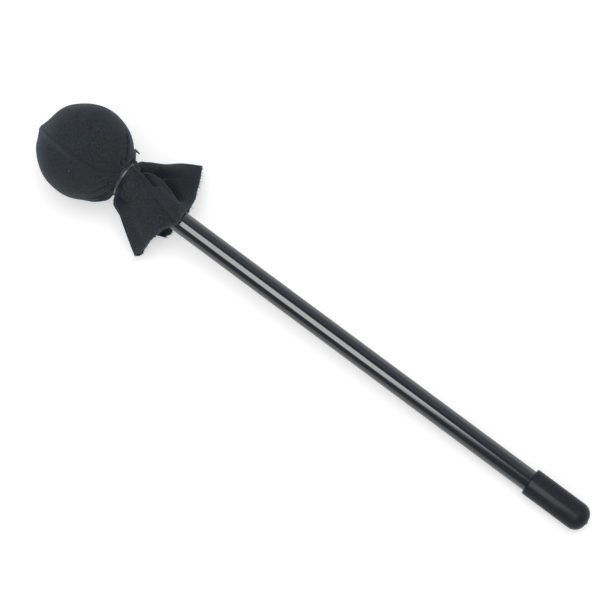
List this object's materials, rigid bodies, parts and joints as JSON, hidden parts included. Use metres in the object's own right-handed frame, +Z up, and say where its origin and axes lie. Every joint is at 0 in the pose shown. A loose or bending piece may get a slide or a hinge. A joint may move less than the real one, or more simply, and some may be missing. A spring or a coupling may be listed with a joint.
{
  "type": "percussion mallet",
  "caption": "Percussion mallet with a soft ball head in a gathered cloth cover, a straight black tube handle and a push-on butt cap, lying on its side.",
  "frame": {"origin": "centre of the flat patch under the ball that rests on the table", "axes": "+X from the ball along the handle towards the butt cap, +Z up from the table, the handle sloping down 3.1 degrees"},
  "size_m": [0.375, 0.0648, 0.0533],
  "materials": {
    "tube": "gloss",
    "core": "matte",
    "cloth": "matte",
    "thread": "matte",
    "tie": "satin",
    "cap": "satin"
  },
  "bodies": {
    "mallet": {"handle_tube": "tube", "core_ball": "core", "cover_panel_near": "cloth", "cover_panel_far": "cloth", "seam_thread": "thread", "cable_tie": "tie"},
    "cap": {"butt_cap": "cap"}
  },
  "joints": [
    {"name": "butt_cap_pull", "type": "slide", "parent": "mallet", "child": "cap", "axis": [0.9985, 0, -0.0544], "range_m": [0, 0.0311]}
  ]
}
